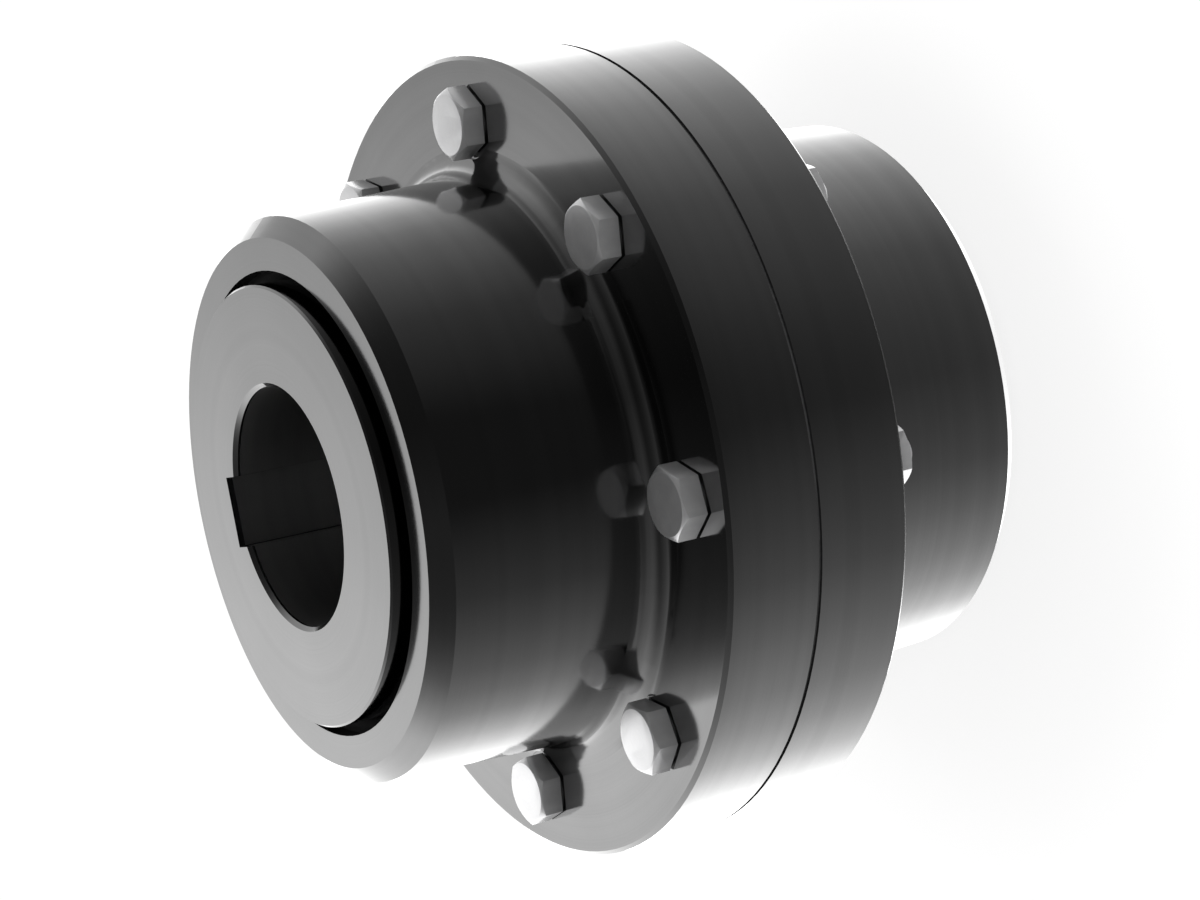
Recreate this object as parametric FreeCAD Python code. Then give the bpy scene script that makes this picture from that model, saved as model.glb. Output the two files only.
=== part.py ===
import FreeCAD, Part
import math
import os

from FreeCAD import Vector

# A gear coupling that joins two shafts, standing on the end face of its rear hub.
# Sizes are in millimetres and angles in degrees. Z runs along the shafts, and Z = 0 is the floor.
# Each piece is drawn for the front half, with heights measured from the joint plane between
# the two flanges. The rear half has the same pieces, turned over.

# Hubs: a bored boss with a keyway, and a ring of crowned teeth at the inner end
bore_diameter = 60.0
bore_chamfer = 1.0
key_width = 18.0
key_depth = 4.4
key_angle = 90.0
boss_diameter = 110.0
boss_edge_chamfer = 0.5
boss_fillet = 2.0
hub_length = 84.0
hub_end_gap = 7.0

# Gear mesh: each hub's teeth stand in the straight teeth of a sleeve and can rock there
tooth_module = 3.0
pressure_angle = 20.0
tooth_face_width = 20.0
tooth_foot_height = 1.25
hub_dedendum = 1.25 * tooth_module
sleeve_tip_depth = 0.8 * tooth_module
tip_clearance = 0.5
flank_backlash = 0.2
crown_relief = 0.35
crown_stations = (-1.1, -0.55, 0.0, 0.55, 1.1)
cutter_overrun = 1.0

# Sleeves: a thick flange and a long barrel in one piece, with a nose that closes round the boss
flange_thickness = 24.5
flange_edge_chamfer = 1.0
bolt_to_rim = 16.3
tooth_runout = 2.0
cavity_relief = 1.0
barrel_wall = 6.2
barrel_draft = 2.0
barrel_to_bolt = 13.5
barrel_fillet = 7.0
barrel_edge_chamfer = 4.6
hub_stand_out = 4.0
nose_gap = 3.0
nose_length = 13.0

# Seals and gasket
seal_width = 5.0
seal_groove_depth = 2.8
seal_groove_from_face = 4.0
seal_lip_clearance = 0.3
seal_lip_thickness = 1.4
flange_gasket_thickness = 1.0
flange_gasket_inset = 0.8

# Flange bolts and nuts (M10). A turn of 0 points a corner of the hexagon away from the axis.
bolt_count = 8
bolt_diameter = 10.0
bolt_across_flats = 16.0
bolt_head_height = 6.4
washer_face_height = 0.5
bolt_hole_clearance = 0.1
bolt_end_beyond_nut = 3.0
bolt_end_chamfer = 1.0
nut_height = 8.0
thread_clearance = 0.05
spot_face_clearance = 0.2
head_turns = (-9, 11, -3, -20, -14, -17, -4, -25)
nut_turns = (14, -6, 21, 3, -17, 8, -24, 11)

# Radii that follow from the sizes above
bore_radius = bore_diameter / 2
boss_radius = boss_diameter / 2
tooth_root_target = boss_radius + tooth_foot_height
tooth_count = math.ceil(round(2 * (tooth_root_target + hub_dedendum) / tooth_module, 6))
pitch_radius = tooth_module * tooth_count / 2
hub_tip_radius = pitch_radius + tooth_module
hub_root_radius = pitch_radius - hub_dedendum
sleeve_root_radius = hub_tip_radius + tip_clearance
sleeve_tip_radius = pitch_radius - sleeve_tip_depth
nose_radius = boss_radius + nose_gap
groove_radius = nose_radius + seal_groove_depth
cavity_radius = sleeve_root_radius + cavity_relief
barrel_radius = cavity_radius + barrel_wall
barrel_foot_radius = barrel_radius + barrel_draft
bolt_circle_radius = barrel_foot_radius + barrel_to_bolt
flange_radius = bolt_circle_radius + bolt_to_rim
bolt_corner_radius = bolt_across_flats / math.sqrt(3)

# Heights above the joint plane that follow from the sizes above
joint_face = flange_gasket_thickness / 2
flange_top = joint_face + flange_thickness
hub_inner_end = hub_end_gap / 2
hub_outer_end = hub_inner_end + hub_length
tooth_centre = hub_inner_end + tooth_face_width / 2
tooth_end = hub_inner_end + tooth_face_width
sleeve_tooth_end = tooth_end + tooth_runout
barrel_end = hub_outer_end - hub_stand_out
nose_start = barrel_end - nose_length
seal_top = barrel_end - seal_groove_from_face
seal_bottom = seal_top - seal_width
joint_height = hub_outer_end

# Angles round the axis: the bolts stand one tooth away from the keyway
tooth_pitch_angle = 360.0 / tooth_count
front_bolt_angle = key_angle - tooth_pitch_angle
turned_over_bolt_angle = 180.0 - front_bolt_angle


def outline(start, *steps):
    """Close a profile of (radius, height) points. A pair of points is an arc: through, end."""
    edges = []
    here = profile_point(start)
    for step in steps:
        if isinstance(step[0], tuple):
            through = profile_point(step[0])
            end = profile_point(step[1])
            edges.append(Part.Arc(here, through, end).toShape())
        else:
            end = profile_point(step)
            edges.append(Part.LineSegment(here, end).toShape())
        here = end
    edges.append(Part.LineSegment(here, profile_point(start)).toShape())
    return Part.Wire(edges)


def profile_point(point):
    radius, height = point
    return Vector(radius, 0, height)


def turned(profile):
    """Revolve a profile about the coupling's axis."""
    return Part.Face(profile).revolve(Vector(0, 0, 0), Vector(0, 0, 1), 360)


def ring(inner_radius, outer_radius, bottom, top):
    return turned(outline(
        (inner_radius, bottom), (outer_radius, bottom), (outer_radius, top), (inner_radius, top)))


def rod(radius, bottom, top):
    return Part.makeCylinder(radius, top - bottom, Vector(0, 0, bottom))


def round_the_axis(shape, first_angle, turns=(0,) * bolt_count):
    """Copy a fastener, or the tool that cuts its hole, to every place of the bolt pattern."""
    copies = []
    for index, turn in enumerate(turns):
        copy = shape.copy()
        copy.rotate(Vector(0, 0, 0), Vector(0, 0, 1), turn)
        copy.translate(Vector(bolt_circle_radius, 0, 0))
        copy.rotate(Vector(0, 0, 0), Vector(0, 0, 1), first_angle + index * 360.0 / bolt_count)
        copies.append(copy)
    return copies


def involute(angle):
    return math.tan(angle) - angle


def tooth_half_width(radius):
    """Half the width of a tooth at a radius, on the involute that hub and sleeve share."""
    base_radius = pitch_radius * math.cos(math.radians(pressure_angle))
    angle_here = math.acos(min(base_radius / radius, 1.0))
    half_angle = math.pi / (2 * tooth_count) + involute(math.radians(pressure_angle)) - involute(angle_here)
    return radius * math.sin(half_angle)


def gap_half_width(radius):
    """Half the width of the space between two teeth at a radius."""
    base_radius = pitch_radius * math.cos(math.radians(pressure_angle))
    angle_here = math.acos(min(base_radius / radius, 1.0))
    half_angle = math.pi / (2 * tooth_count) - involute(math.radians(pressure_angle)) + involute(angle_here)
    return radius * math.sin(half_angle)


def flat_sided_solid(sections):
    """Join like-numbered corners of a row of sections with flat faces, and close both ends."""
    faces = []
    for lower, upper in zip(sections, sections[1:]):
        for index in range(len(lower)):
            after = (index + 1) % len(lower)
            corners = [lower[index], lower[after], upper[after], upper[index]]
            faces.append(Part.Face(Part.makePolygon(corners + corners[:1])))
    for end in (sections[0], sections[-1]):
        faces.append(Part.Face(Part.makePolygon(end + end[:1])))
    return Part.Solid(Part.Shell(faces))


def hub_gap_cutter():
    """The space between two hub teeth. It widens towards both ends, which crowns the teeth."""
    cut_tip = hub_tip_radius + tip_clearance
    radii = (hub_root_radius, (hub_root_radius + pitch_radius) / 2, pitch_radius, cut_tip)
    sections = []
    for station in crown_stations:
        height = tooth_centre + station * tooth_face_width / 2
        widening = flank_backlash + crown_relief * station ** 2
        one_side = [Vector(r, gap_half_width(r) + widening, height) for r in radii]
        other_side = [Vector(point.x, -point.y, height) for point in reversed(one_side)]
        sections.append(one_side + other_side)
    return flat_sided_solid(sections)


def make_hub():
    """Turned and gear-cut steel hub: bore, keyway, boss and a ball-shaped ring of crowned teeth."""
    tooth_corner = math.sqrt(hub_tip_radius ** 2 - (tooth_face_width / 2) ** 2)
    fillet_middle = boss_fillet * (1 - math.sqrt(0.5))
    blank = turned(outline(
        (bore_radius, hub_inner_end + bore_chamfer),
        (bore_radius + bore_chamfer, hub_inner_end),
        (tooth_corner, hub_inner_end),
        ((hub_tip_radius, tooth_centre), (tooth_corner, tooth_end)),
        (boss_radius + boss_fillet, tooth_end),
        ((boss_radius + fillet_middle, tooth_end + fillet_middle), (boss_radius, tooth_end + boss_fillet)),
        (boss_radius, hub_outer_end - boss_edge_chamfer),
        (boss_radius - boss_edge_chamfer, hub_outer_end),
        (bore_radius + bore_chamfer, hub_outer_end),
        (bore_radius, hub_outer_end - bore_chamfer)))
    gaps = []
    for index in range(tooth_count):
        gap = hub_gap_cutter()
        gap.rotate(Vector(0, 0, 0), Vector(0, 0, 1), key_angle + (index + 0.5) * tooth_pitch_angle)
        gaps.append(gap)
    keyway_corner = Vector(0, -key_width / 2, hub_inner_end)
    keyway = Part.makeBox(bore_radius + key_depth, key_width, hub_length, keyway_corner)
    keyway.rotate(Vector(0, 0, 0), Vector(0, 0, 1), key_angle)
    return blank.cut(gaps + [keyway])


def sleeve_gap_cutter():
    """The space between two sleeve teeth, which takes one hub tooth."""
    cut_tip = sleeve_tip_radius - tip_clearance
    radii = (cut_tip, pitch_radius, (pitch_radius + sleeve_root_radius) / 2, sleeve_root_radius)
    sections = []
    for height in (joint_face - cutter_overrun, sleeve_tooth_end + cutter_overrun):
        one_side = [Vector(r, tooth_half_width(r), height) for r in radii]
        other_side = [Vector(point.x, -point.y, height) for point in reversed(one_side)]
        sections.append(one_side + other_side)
    return flat_sided_solid(sections)


def make_sleeve(bolt_angle):
    """Turned steel sleeve: straight internal teeth, drilled flange, long barrel and grooved nose."""
    fillet_middle = barrel_fillet * (1 - math.sqrt(0.5))
    blank = turned(outline(
        (sleeve_tip_radius, joint_face),
        (flange_radius, joint_face),
        (flange_radius, flange_top - flange_edge_chamfer),
        (flange_radius - flange_edge_chamfer, flange_top),
        (barrel_foot_radius + barrel_fillet, flange_top),
        ((barrel_foot_radius + fillet_middle, flange_top + fillet_middle),
         (barrel_foot_radius, flange_top + barrel_fillet)),
        (barrel_radius, barrel_end - barrel_edge_chamfer),
        (barrel_radius - barrel_edge_chamfer, barrel_end),
        (nose_radius, barrel_end),
        (nose_radius, seal_top),
        (groove_radius, seal_top),
        (groove_radius, seal_bottom),
        (nose_radius, seal_bottom),
        (nose_radius, nose_start),
        (cavity_radius, nose_start - (cavity_radius - nose_radius)),
        (cavity_radius, sleeve_tooth_end),
        (sleeve_tip_radius, sleeve_tooth_end)))
    gaps = []
    for index in range(tooth_count):
        gap = sleeve_gap_cutter()
        gap.rotate(Vector(0, 0, 0), Vector(0, 0, 1), key_angle + index * tooth_pitch_angle)
        gaps.append(gap)
    bolt_hole = rod(bolt_diameter / 2 + bolt_hole_clearance, joint_face, flange_top)
    spot_face = rod(bolt_corner_radius + spot_face_clearance, flange_top, flange_top + barrel_fillet)
    holes = round_the_axis(bolt_hole, bolt_angle) + round_the_axis(spot_face, bolt_angle)
    return blank.cut(gaps + holes)


def make_hub_seal():
    """Rubber lip seal: a square heel in the nose groove and a lip that leans in to the boss."""
    lip_radius = boss_radius + seal_lip_clearance
    return turned(outline(
        (groove_radius, seal_bottom),
        (groove_radius, seal_top),
        (nose_radius, seal_top),
        (lip_radius, seal_bottom + seal_lip_thickness),
        (lip_radius, seal_bottom),
        (nose_radius, seal_top - 2 * seal_lip_thickness),
        (nose_radius, seal_bottom)))


def make_flange_gasket():
    """Sheet gasket between the two flanges. Its edge lies a little inside theirs."""
    outer_radius = flange_radius - flange_gasket_inset
    sheet = ring(sleeve_root_radius + flange_gasket_inset, outer_radius, -joint_face, joint_face)
    hole = rod(bolt_diameter / 2 + bolt_hole_clearance, -joint_face, joint_face)
    return sheet.cut(round_the_axis(hole, front_bolt_angle))


def hexagon(bottom, top):
    corners = []
    for index in range(7):
        angle = math.radians(index * 60.0)
        x, y = bolt_corner_radius * math.cos(angle), bolt_corner_radius * math.sin(angle)
        corners.append(Vector(x, y, bottom))
    return Part.Face(Part.makePolygon(corners)).extrude(Vector(0, 0, top - bottom))


def chamfer_cone(bottom, top):
    """A turned body that rounds off the corners at the top of a hexagon, at 30 degrees."""
    face_radius = 0.475 * bolt_across_flats
    drop = (bolt_corner_radius - face_radius) * math.tan(math.radians(30))
    return turned(outline(
        (0, bottom),
        (bolt_corner_radius, bottom),
        (bolt_corner_radius, top - drop),
        (face_radius, top),
        (0, top)))


def make_flange_bolt():
    """Hexagon bolt with a washer face under its head, standing on the axis."""
    head_bottom = flange_top + washer_face_height
    head_top = flange_top + bolt_head_height
    head = hexagon(head_bottom, head_top).common(chamfer_cone(head_bottom, head_top))
    washer_face = rod(0.455 * bolt_across_flats, flange_top, head_bottom)
    bolt_radius = bolt_diameter / 2
    bolt_end = -flange_top - nut_height - bolt_end_beyond_nut
    shank = turned(outline(
        (0, bolt_end),
        (bolt_radius - bolt_end_chamfer, bolt_end),
        (bolt_radius, bolt_end + bolt_end_chamfer),
        (bolt_radius, head_bottom),
        (0, head_bottom)))
    return head.fuse([washer_face, shank]).removeSplitter()


def make_flange_nut():
    """Hexagon nut under the rear flange, standing on the axis."""
    top = -flange_top
    bottom = top - nut_height
    cone = chamfer_cone(bottom, top)
    cone.rotate(Vector(0, 0, (bottom + top) / 2), Vector(1, 0, 0), 180)
    nut = hexagon(bottom, top).common(cone)
    return nut.cut(rod(bolt_diameter / 2 + thread_clearance, bottom, top))


def front(shape):
    """Lift a piece of the front half to its place above the joint plane."""
    placed = shape.copy()
    placed.translate(Vector(0, 0, joint_height))
    return placed


def rear(shape):
    """Turn a piece over, about the line of the keyways, into the rear half."""
    placed = shape.copy()
    placed.rotate(Vector(0, 0, 0), Vector(0, 1, 0), 180)
    return front(placed)


def build():
    pieces = {}
    for name, place, bolt_angle in (
            ("front", front, front_bolt_angle), ("rear", rear, turned_over_bolt_angle)):
        pieces[name + "_hub"] = place(make_hub())
        pieces[name + "_sleeve"] = place(make_sleeve(bolt_angle))
        pieces[name + "_hub_seal"] = place(make_hub_seal())
    bolts = round_the_axis(make_flange_bolt(), front_bolt_angle, head_turns)
    nuts = round_the_axis(make_flange_nut(), front_bolt_angle, nut_turns)
    pieces["flange_gasket"] = front(make_flange_gasket())
    pieces["flange_bolts"] = front(Part.makeCompound(bolts))
    pieces["flange_nuts"] = front(Part.makeCompound(nuts))
    return pieces


os.makedirs("parts", exist_ok=True)
for node, shape in build().items():
    shape.exportStep("parts/" + node + ".step")
    print(node, len(shape.Solids), "solids", round(shape.Volume / 1000, 2), "cm3", shape.isValid())
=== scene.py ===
import bpy
from math import pi, radians, sqrt
from mathutils import Matrix, Vector


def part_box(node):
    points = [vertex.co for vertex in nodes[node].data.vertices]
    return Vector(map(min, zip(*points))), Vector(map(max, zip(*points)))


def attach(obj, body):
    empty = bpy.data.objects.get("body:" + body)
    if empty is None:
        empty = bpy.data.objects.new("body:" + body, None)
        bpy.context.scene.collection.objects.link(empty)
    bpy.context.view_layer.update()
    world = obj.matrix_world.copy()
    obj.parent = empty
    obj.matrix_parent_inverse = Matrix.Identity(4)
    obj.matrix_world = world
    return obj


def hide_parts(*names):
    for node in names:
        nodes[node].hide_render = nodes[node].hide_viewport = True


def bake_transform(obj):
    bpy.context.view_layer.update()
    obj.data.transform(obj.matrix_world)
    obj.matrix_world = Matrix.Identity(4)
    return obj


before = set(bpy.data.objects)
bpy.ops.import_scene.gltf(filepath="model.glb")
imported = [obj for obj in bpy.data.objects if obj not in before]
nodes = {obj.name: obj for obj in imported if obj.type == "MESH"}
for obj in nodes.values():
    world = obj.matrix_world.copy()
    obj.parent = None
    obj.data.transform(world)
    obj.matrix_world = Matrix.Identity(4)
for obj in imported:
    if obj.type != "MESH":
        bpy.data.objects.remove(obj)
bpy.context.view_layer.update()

# The place of the camera. The coupling stands on its rear hub, and the photograph shows such a
# coupling lying on its side, so the camera looks down at it and is rolled over a quarter turn.
view_direction = Vector((-0.0446, 0.8763, -0.4798)).normalized()
picture_right = view_direction.cross(Vector((0.9814, -0.0514, -0.1851))).normalized()
picture_up = picture_right.cross(view_direction)
camera = bpy.data.objects.new("camera", bpy.data.cameras.new("camera"))
camera.matrix_world = Matrix((picture_right, picture_up, -view_direction)).transposed().to_4x4()
camera.matrix_world.translation = Vector((0.0354, -0.7418, 0.4924))
camera.data.sensor_width = 36.0
camera.data.lens = 98.7
camera.data.clip_start = 0.01
bpy.context.scene.collection.objects.link(camera)
bpy.context.scene.camera = camera
bpy.context.scene.view_settings.view_transform = "Standard"


# The room: white to the camera, and an even light at a level where a colour looks as it is
# written. One large soft box hangs over the coupling for its soft shadow, and a low one stands
# before it and lights the sides of the bolt heads.
def new_nodes(owner):
    """Give a material or a world an empty node tree, and return a maker of linked nodes for it."""
    owner.use_nodes = True
    tree = owner.node_tree
    tree.nodes.clear()

    def add(kind, links=None, **settings):
        node = tree.nodes.new(kind)
        for name, value in settings.items():
            setattr(node, name, value)
        for socket, source in (links or {}).items():
            if isinstance(source, bpy.types.NodeSocket):
                tree.links.new(source, node.inputs[socket])
            else:
                node.inputs[socket].default_value = source
        return node

    return add


def math_node(add, operation, first, second=0.0, third=0.0):
    return add("ShaderNodeMath", {0: first, 1: second, 2: third}, operation=operation).outputs[0]


def seen_or_mirrored(add):
    """1 for a ray that the camera sends, or that comes back from metal or through glass."""
    ray = add("ShaderNodeLightPath").outputs
    seen = math_node(add, "MAXIMUM", ray["Is Camera Ray"], ray["Is Glossy Ray"])
    return math_node(add, "MAXIMUM", seen, ray["Is Transmission Ray"])


room = bpy.data.worlds.new("white room")
bpy.context.scene.world = room
add = new_nodes(room)
room_light = add("ShaderNodeBackground", {"Color": (1, 1, 1, 1), "Strength": 0.6})
room_white = add("ShaderNodeBackground", {"Color": (1, 1, 1, 1), "Strength": 1.0})
room_mix = add("ShaderNodeMixShader", {
    0: seen_or_mirrored(add), 1: room_light.outputs[0], 2: room_white.outputs[0]})
add("ShaderNodeOutputWorld", {"Surface": room_mix.outputs[0]})

middle = Vector((0, 0, 0.09))
for name, energy, place in (("soft box", 6.0, (0.3, 0.3, 1.4)), ("low soft box", 18.0, (0.2, -1.5, 0.3))):
    lamp = bpy.data.lights.new(name, "AREA")
    lamp.shape = "RECTANGLE"
    lamp.size = 1.0
    lamp.size_y = 0.8
    lamp.energy = energy
    soft_box = bpy.data.objects.new(name, lamp)
    soft_box.location = place
    soft_box.rotation_euler = (middle - soft_box.location).to_track_quat("-Z", "Y").to_euler()
    soft_box.visible_glossy = False
    bpy.context.scene.collection.objects.link(soft_box)

# The floor: a plain pale sheet under the coupling, which takes its soft shadow. The polished
# metal mirrors the tent instead of it.
bpy.ops.object.select_all(action="DESELECT")
bpy.ops.mesh.primitive_plane_add(size=6.0, location=(0, 0, 0))
floor = bpy.context.object
floor.name = "floor"
floor_paint = bpy.data.materials.new("pale floor")
add = new_nodes(floor_paint)
floor_matt = add("ShaderNodeBsdfDiffuse", {"Color": (0.8, 0.8, 0.8, 1)})
floor_thin = add("ShaderNodeBsdfDiffuse", {"Color": (0.3, 0.3, 0.3, 1)})
floor_white = add("ShaderNodeEmission", {"Color": (1, 1, 1, 1), "Strength": 0.78})
floor_sum = add("ShaderNodeAddShader", {0: floor_thin.outputs[0], 1: floor_white.outputs[0]})
floor_mix = add("ShaderNodeMixShader", {
    0: seen_or_mirrored(add), 1: floor_matt.outputs[0], 2: floor_sum.outputs[0]})
add("ShaderNodeOutputMaterial", {"Surface": floor_mix.outputs[0]})
floor.data.materials.append(floor_paint)
floor.visible_glossy = False

# The light tent: a ball of graded cloth all round the coupling, which only polished metal
# shows. It is bright behind the coupling, and falls away to black on the side of the camera.
tent_radius = 0.65
tent_brightest = 2.5
tent_glows = ((-0.9, 0.030), (-0.75, 0.07), (-0.45, 0.135), (-0.2, 0.245), (0.1, 0.42), (0.3, 0.62),
              (0.5, 0.95), (0.7, 1.60), (0.9, 2.45))
bpy.ops.object.select_all(action="DESELECT")
bpy.ops.mesh.primitive_uv_sphere_add(segments=96, ring_count=48, radius=tent_radius, location=middle)
tent = bpy.context.object
tent.name = "light tent"
tent_cloth = bpy.data.materials.new("tent cloth")
tent_cloth.cycles.emission_sampling = "NONE"
add = new_nodes(tent_cloth)
tent_place = add("ShaderNodeTexCoord").outputs["Object"]
tent_way = add("ShaderNodeVectorMath", {0: tent_place}, operation="NORMALIZE").outputs[0]
tent_parts = add("ShaderNodeSeparateXYZ", {0: tent_way}).outputs

# From front to back; below, its low side is lighter, and above, all of it is.
above = add("ShaderNodeMapRange", {"Value": tent_parts["Z"], "From Max": 0.3},
            interpolation_type="SMOOTHSTEP").outputs[0]
low_side = math_node(add, "MULTIPLY", math_node(add, "MINIMUM", tent_parts["X"], 0.0), -0.35)
shift = add("ShaderNodeMix", {"Factor": above, 2: low_side, 3: 0.5}).outputs[0]
to_back = math_node(add, "ADD", tent_parts["Y"], shift)
tent_ramp = add("ShaderNodeValToRGB", {0: math_node(add, "MULTIPLY_ADD", to_back, 0.5, 0.5)})
ramp_stops = tent_ramp.color_ramp.elements
for place, glow in tent_glows:
    level = glow / tent_brightest
    ramp_stops.new(0.5 * place + 0.5).color = (level, level, level, 1)
ramp_stops.remove(ramp_stops[-1])
ramp_stops.remove(ramp_stops[0])

# From bottom to top: brightest under the coupling, dimmer above it, and dim overhead.
across = add("ShaderNodeMapRange", {
    "Value": tent_parts["X"], "From Min": -0.2, "From Max": 0.25, "To Min": 0.73, "To Max": 0.34}).outputs[0]
tent_bands = ((-0.44, -0.36, 2.0, 1.0), (-0.1, 0.2, 1.0, across), (0.48, 0.82, 1.0, 0.2))
tent_strength = tent_brightest
for low, high, low_level, high_level in tent_bands:
    band = add("ShaderNodeMapRange", {
        "Value": tent_parts["Z"], "From Min": low, "From Max": high,
        "To Min": low_level, "To Max": high_level}, interpolation_type="SMOOTHSTEP")
    tent_strength = math_node(add, "MULTIPLY", band.outputs[0], tent_strength)
tent_light = add("ShaderNodeEmission", {"Color": tent_ramp.outputs["Color"], "Strength": tent_strength})
add("ShaderNodeOutputMaterial", {"Surface": tent_light.outputs[0]})
tent.data.materials.append(tent_cloth)
for other_ray in ("camera", "diffuse", "shadow", "transmission", "volume_scatter"):
    setattr(tent, "visible_" + other_ray, False)


# Hubs and sleeves: turned from steel bar and forgings, then blackened and polished. The fine
# rings that the lathe's tool leaves follow the radius on faces and the height on barrels. The
# hubs' bores and keyways are left bare, lighter and duller.
def mixed_tones(add, share, dark, light):
    """A colour between a dark and a light one."""
    return add("ShaderNodeMix", {"Factor": share, 6: (*dark, 1), 7: (*light, 1)}, data_type="RGBA").outputs[2]


def surface(add, colour, roughness, bump, metallic=0.0):
    shader = add("ShaderNodeBsdfPrincipled", {
        "Base Color": colour, "Metallic": metallic, "Roughness": roughness, "Normal": bump.outputs[0]})
    add("ShaderNodeOutputMaterial", {"Surface": shader.outputs[0]})


def turned_steel(name, tone):
    steel = bpy.data.materials.new(name)
    add = new_nodes(steel)
    place = add("ShaderNodeTexCoord").outputs["Object"]
    across = add("ShaderNodeVectorMath", {0: place, 1: (1, 1, 0)}, operation="MULTIPLY").outputs[0]
    radius = add("ShaderNodeVectorMath", {0: across}, operation="LENGTH").outputs["Value"]
    height = add("ShaderNodeSeparateXYZ", {0: place}).outputs["Z"]
    along_cut = math_node(add, "MULTIPLY_ADD", height, 1.37, radius)
    fine = add("ShaderNodeTexNoise", {"W": along_cut, "Scale": 2400.0, "Detail": 3.0}, noise_dimensions="1D")
    broad = add("ShaderNodeTexNoise", {"W": along_cut, "Scale": 160.0, "Detail": 2.0}, noise_dimensions="1D")
    cloud = add("ShaderNodeTexNoise", {"Vector": place, "Scale": 28.0, "Detail": 4.0}).outputs[0]
    fine_share = math_node(add, "MULTIPLY", fine.outputs[0], 0.4)
    rings = math_node(add, "MULTIPLY_ADD", broad.outputs[0], 0.6, fine_share)
    shade = math_node(add, "MULTIPLY_ADD", rings, 0.22, math_node(add, "MULTIPLY", cloud, 0.16))
    spread = math_node(add, "MULTIPLY_ADD", rings, 0.07, math_node(add, "MULTIPLY", cloud, 0.05))
    polished = mixed_tones(add, shade, [0.78 * tone] * 3, [2.0 * tone] * 3)
    bored = mixed_tones(add, shade, [bored_dark] * 3, [bored_light] * 3)
    in_bore = math_node(add, "MULTIPLY", math_node(add, "LESS_THAN", radius, keyway_reach),
                        math_node(add, "COMPARE", height, coupling_middle, coupling_middle - bore_chamfer))
    colour = add("ShaderNodeMix", {"Factor": in_bore, 6: polished, 7: bored}, data_type="RGBA").outputs[2]
    gloss = math_node(add, "ADD", spread, math_node(add, "MULTIPLY_ADD", in_bore, bored_dullness, polish))
    bump = add("ShaderNodeBump", {"Strength": 0.5, "Distance": 0.000004, "Height": rings})
    surface(add, colour, gloss, bump, metallic=1.0)
    return steel


keyway_reach = 0.0355
bore_chamfer = 0.0016
coupling_middle = 0.0875
polish = 0.06
bored_dark = 0.28
bored_light = 0.70
bored_dullness = 0.26
hub_steel = turned_steel("hub steel", 0.21)
sleeve_steel = turned_steel("sleeve steel", 0.20)
for name, steel in (("front_hub", hub_steel), ("rear_hub", hub_steel),
                    ("front_sleeve", sleeve_steel), ("rear_sleeve", sleeve_steel)):
    nodes[name].data.materials.clear()
    nodes[name].data.materials.append(steel)

# Flange gasket: pressed fibre sheet, cut a little smaller than the flanges, so its edge is a
# thin dark line between them.
gasket_fibre = bpy.data.materials.new("gasket fibre")
add = new_nodes(gasket_fibre)
fibre_place = add("ShaderNodeTexCoord").outputs["Object"]
fibres = add("ShaderNodeTexNoise", {
    "Vector": fibre_place, "Scale": 900.0, "Detail": 5.0, "Roughness": 0.7}).outputs[0]
fibre_tone = mixed_tones(add, fibres, (0.012, 0.012, 0.013), (0.05, 0.05, 0.05))
fibre_bump = add("ShaderNodeBump", {"Strength": 0.6, "Distance": 0.00005, "Height": fibres})
surface(add, fibre_tone, 0.85, fibre_bump)
nodes["flange_gasket"].data.materials.clear()
nodes["flange_gasket"].data.materials.append(gasket_fibre)


# Hub seals: black rubber rings. The heel is pressed into the groove in the sleeve's nose, and a
# thin lip leans in from it to the hub's boss.
def clean_up(smooth_angle):
    """Merge doubles, turn all faces outwards and smooth the shallow edges of the active mesh."""
    bpy.ops.object.mode_set(mode="EDIT")
    bpy.ops.mesh.select_all(action="SELECT")
    bpy.ops.mesh.remove_doubles(threshold=0.000002)
    bpy.ops.mesh.normals_make_consistent(inside=False)
    bpy.ops.object.mode_set(mode="OBJECT")
    bpy.ops.object.shade_smooth_by_angle(angle=radians(smooth_angle))


def spun_ring(name, profile, steps):
    """Spin a closed profile of (radius, height) points once round the Z axis."""
    bpy.ops.object.select_all(action="DESELECT")
    bpy.ops.mesh.primitive_circle_add(vertices=len(profile), radius=0.01, location=(0, 0, 0))
    piece = bpy.context.object
    piece.name = name
    for vertex, (radius, height) in zip(piece.data.vertices, profile):
        vertex.co = (radius, 0, height)
    bpy.ops.object.mode_set(mode="EDIT")
    bpy.ops.mesh.select_all(action="SELECT")
    bpy.ops.mesh.spin(steps=steps, angle=2 * pi, center=(0, 0, 0), axis=(0, 0, 1))
    bpy.ops.object.mode_set(mode="OBJECT")
    clean_up(50)
    return piece


seal_rubber = bpy.data.materials.new("seal rubber")
add = new_nodes(seal_rubber)
rubber_place = add("ShaderNodeTexCoord").outputs["Object"]
rubber_grain = add("ShaderNodeTexNoise", {"Vector": rubber_place, "Scale": 700.0, "Detail": 4.0}).outputs[0]
rubber_tone = mixed_tones(add, rubber_grain, (0.010, 0.010, 0.010), (0.028, 0.028, 0.029))
rubber_gloss = math_node(add, "MULTIPLY_ADD", rubber_grain, 0.25, 0.45)
rubber_bump = add("ShaderNodeBump", {"Strength": 0.4, "Distance": 0.00003, "Height": rubber_grain})
surface(add, rubber_tone, rubber_gloss, rubber_bump)

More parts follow.
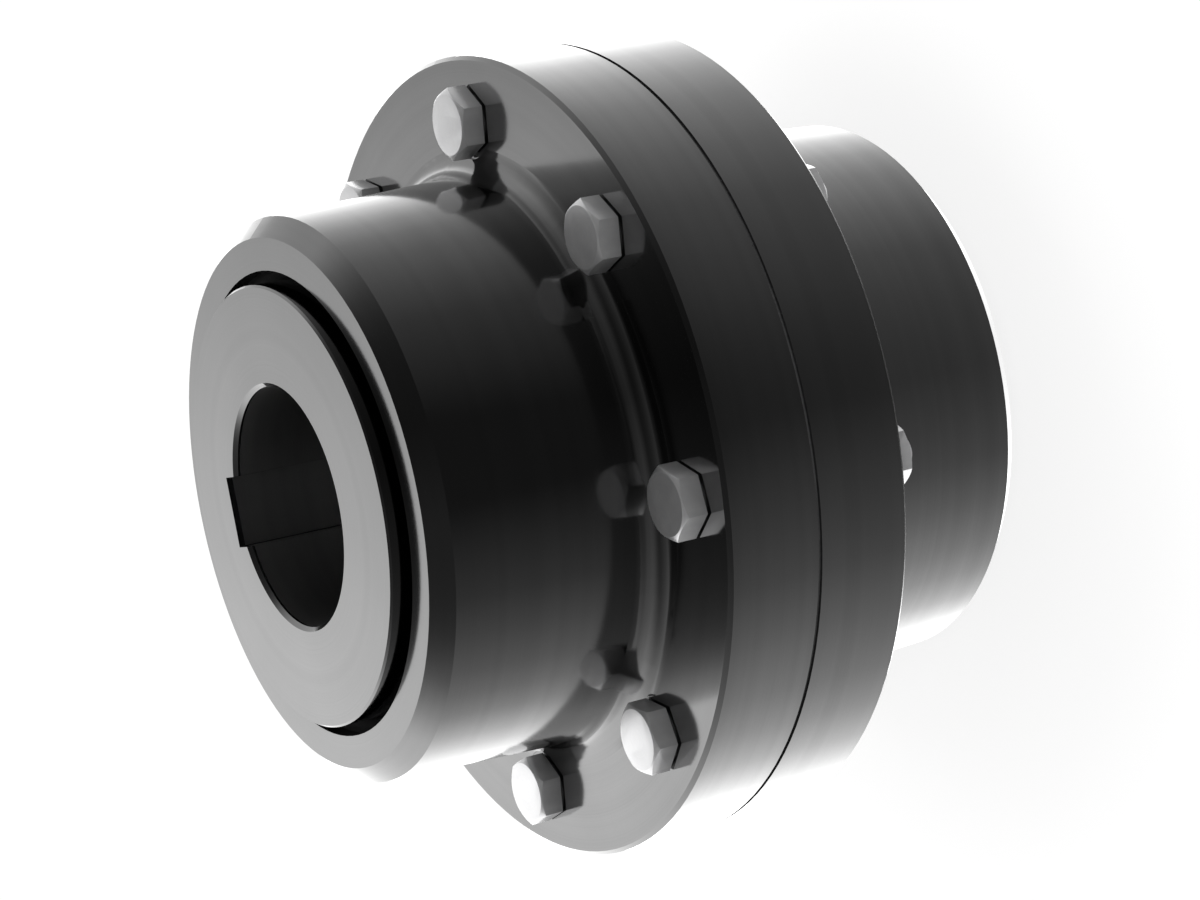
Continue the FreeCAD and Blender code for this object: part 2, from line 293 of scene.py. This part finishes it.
# Radii and heights above the seal's lower face: the heel is 3.2 mm high, and the lip hangs in.
seal_profile = ((0.0606, 0.0018), (0.0607, 0.0021), (0.0607, 0.0047), (0.0605, 0.0049), (0.0583, 0.0049),
                (0.0581, 0.0047), (0.0580, 0.0036), (0.0570, 0.0026), (0.0556, 0.0013), (0.05512, 0.0007),
                (0.05506, 0.0003), (0.0553, 0.0001), (0.0558, 0.0003), (0.0572, 0.0013), (0.0583, 0.0018))
for end in ("front", "rear"):
    low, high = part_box(end + "_hub_seal")
    base, way = (low.z, 1) if end == "front" else (high.z, -1)
    seal = spun_ring(end + "_lip_seal", [(radius, base + way * height) for radius, height in seal_profile], 144)
    seal.data.materials.append(seal_rubber)
    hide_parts(end + "_hub_seal")
    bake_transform(seal)


# Flange bolts: M10 hexagon bolts of bright plated steel, with a washer face under the head and
# a rolled thread at the other end. Each was tightened until it was tight, so no two heads stand
# at the same angle.
def turned_up(name, profile, segments):
    """Draw up a solid of revolution along Z from (radius, height) points, by extrude and scale."""
    bpy.ops.object.select_all(action="DESELECT")
    first_radius, first_height = profile[0]
    bpy.ops.mesh.primitive_circle_add(
        vertices=segments, radius=first_radius, fill_type="NGON", location=(0, 0, first_height))
    piece = bpy.context.object
    piece.name = name
    bpy.ops.object.transform_apply(location=True)
    bpy.ops.object.mode_set(mode="EDIT")
    bpy.ops.mesh.select_all(action="SELECT")
    for (radius, height), (next_radius, next_height) in zip(profile, profile[1:]):
        grow = next_radius / radius
        bpy.ops.mesh.extrude_region_move(TRANSFORM_OT_translate={"value": (0, 0, next_height - height)})
        bpy.ops.transform.resize(value=(grow, grow, 1), center_override=(0, 0, next_height))
    bpy.ops.object.mode_set(mode="OBJECT")
    clean_up(32)
    return piece


def combine(piece, other, operation):
    """Join, subtract or intersect another solid, which is used up."""
    joiner = piece.modifiers.new("combine", "BOOLEAN")
    joiner.operation = operation
    joiner.object = other
    joiner.solver = "EXACT"
    bpy.ops.object.select_all(action="DESELECT")
    bpy.context.view_layer.objects.active = piece
    piece.select_set(True)
    bpy.ops.object.modifier_apply(modifier=joiner.name)
    bpy.data.objects.remove(other)


def rounded_hexagon(name, bottom, top, trimmer_profile):
    """A hexagon with a corner on +X, trimmed by a turned body and softened along its edges."""
    bpy.ops.object.select_all(action="DESELECT")
    bpy.ops.mesh.primitive_cylinder_add(vertices=6, radius=hexagon_corner, depth=top - bottom,
                                        location=(0, 0, (top + bottom) / 2), rotation=(0, 0, radians(30)))
    piece = bpy.context.object
    piece.name = name
    bpy.ops.object.transform_apply(location=True, rotation=True)
    combine(piece, turned_up("trimmer", trimmer_profile, 96), "INTERSECT")
    softener = piece.modifiers.new("softener", "BEVEL")
    softener.width = 0.00018
    softener.segments = 2
    softener.limit_method = "ANGLE"
    softener.angle_limit = radians(25)
    bpy.ops.object.modifier_apply(modifier=softener.name)
    return piece


def put_round(pattern, name, node, turns):
    """Copy a fastener that stands on the Z axis to its eight places, each at its own turn."""
    # At two corners of the hexagon a sliver is folded back on itself. One side of it goes here,
    # because the copies share the pattern's faces.
    pattern.data.validate()
    own_place = pattern.data.attributes.new("own_place", "FLOAT_VECTOR", "POINT")
    for vertex, stored in zip(pattern.data.vertices, own_place.data):
        stored.vector = vertex.co
    pattern.data.materials.clear()
    pattern.data.materials.append(plated_steel)
    for index, turn in enumerate(turns):
        copy = bpy.data.objects.new(f"{name}_{index + 1}", pattern.data.copy())
        bpy.context.scene.collection.objects.link(copy)
        round_axis = Matrix.Rotation(radians(first_bolt_angle + 45 * index), 4, "Z")
        outward = Matrix.Translation((bolt_circle_radius, 0, 0))
        copy.data.transform(round_axis @ outward @ Matrix.Rotation(radians(turn), 4, "Z"))
        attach(copy, "housing")
        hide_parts(node)
    bpy.data.objects.remove(pattern)


bolt_circle_radius = 0.0862
first_bolt_angle = 81
hexagon_corner = 0.016 / sqrt(3)
bolt_seat = 0.1125
washer_face_radius = 0.00728
washer_face_top = bolt_seat + 0.0005
head_top = bolt_seat + 0.0064
nut_seat = 0.0625
nut_end = nut_seat - 0.008
bolt_end = nut_end - 0.003
thread_radius = 0.005
thread_root = 0.00415
thread_pitch = 0.0015
half_flat = 0.0001
trim_slope = 0.5774
trim_radius = hexagon_corner + 0.0004
trim_face = 0.0076
trim_drop = (trim_radius - trim_face) * trim_slope
head_turns = (-9, 11, -3, -20, -14, -17, -4, -25)

plated_steel = bpy.data.materials.new("plated steel")
add = new_nodes(plated_steel)
plate_place = add("ShaderNodeAttribute", attribute_name="own_place").outputs["Vector"]
plate_across = add("ShaderNodeVectorMath", {0: plate_place, 1: (1, 1, 0)}, operation="MULTIPLY").outputs[0]
plate_radius = add("ShaderNodeVectorMath", {0: plate_across}, operation="LENGTH").outputs["Value"]
plate_rings = add("ShaderNodeTexNoise", {
    "W": plate_radius, "Scale": 1800.0, "Detail": 2.0}, noise_dimensions="1D")
plate_cloud = add("ShaderNodeTexNoise", {
    "Vector": add("ShaderNodeTexCoord").outputs["Object"], "Scale": 260.0, "Detail": 4.0})
plate_mix = math_node(add, "MULTIPLY_ADD", plate_cloud.outputs[0], 0.7,
                      math_node(add, "MULTIPLY", plate_rings.outputs[0], 0.3))
plate_tone = mixed_tones(add, plate_mix, (0.58, 0.58, 0.59), (0.82, 0.82, 0.82))
plate_gloss = math_node(add, "MULTIPLY_ADD", plate_mix, 0.20, 0.24)
plate_bump = add("ShaderNodeBump", {"Strength": 0.5, "Distance": 0.00001, "Height": plate_mix})
surface(add, plate_tone, plate_gloss, plate_bump, metallic=0.86)

shank_profile = [(0.0034, bolt_end), (0.0040, bolt_end + 0.0002)]
for turn_number in range(8):
    ridge = bolt_end + 0.0011 + turn_number * thread_pitch
    groove = ridge + thread_pitch / 2
    ridge_radius = thread_radius if turn_number else 0.0047
    shank_profile += [(ridge_radius, ridge - half_flat), (ridge_radius, ridge + half_flat),
                      (thread_root, groove - half_flat), (thread_root, groove + half_flat)]
shank_profile += [(thread_radius, ridge + thread_pitch), (thread_radius, bolt_seat - 0.00002),
                  (0.00700, bolt_seat), (washer_face_radius, bolt_seat + 0.0001),
                  (washer_face_radius, washer_face_top + 0.0002)]
bolt = rounded_hexagon("flange bolt pattern", washer_face_top, head_top, (
    (trim_radius, washer_face_top - 0.001), (trim_radius, head_top - trim_drop), (trim_face, head_top)))
combine(bolt, turned_up("shank", shank_profile, 48), "UNION")
clean_up(32)
put_round(bolt, "flange_bolt", "flange_bolts", head_turns)

# Flange nuts: M10 hexagon nuts of the same steel, against the rear flange. Both ends of the
# thread are countersunk.
nut_turns = (14, -6, 21, 3, -17, 8, -24, 11)
nut_bore = 0.00502
countersink = 0.0058
nut = rounded_hexagon("flange nut pattern", nut_end, nut_seat, (
    (trim_face, nut_end), (trim_radius, nut_end + trim_drop), (trim_radius, nut_seat + 0.001)))
nut_hole = turned_up("nut hole", (
    (countersink, nut_end - 0.0003), (nut_bore, nut_end + 0.0006),
    (nut_bore, nut_seat - 0.0006), (countersink, nut_seat + 0.0003)), 48)
combine(nut, nut_hole, "DIFFERENCE")
clean_up(32)
put_round(nut, "flange_nut", "flange_nuts", nut_turns)
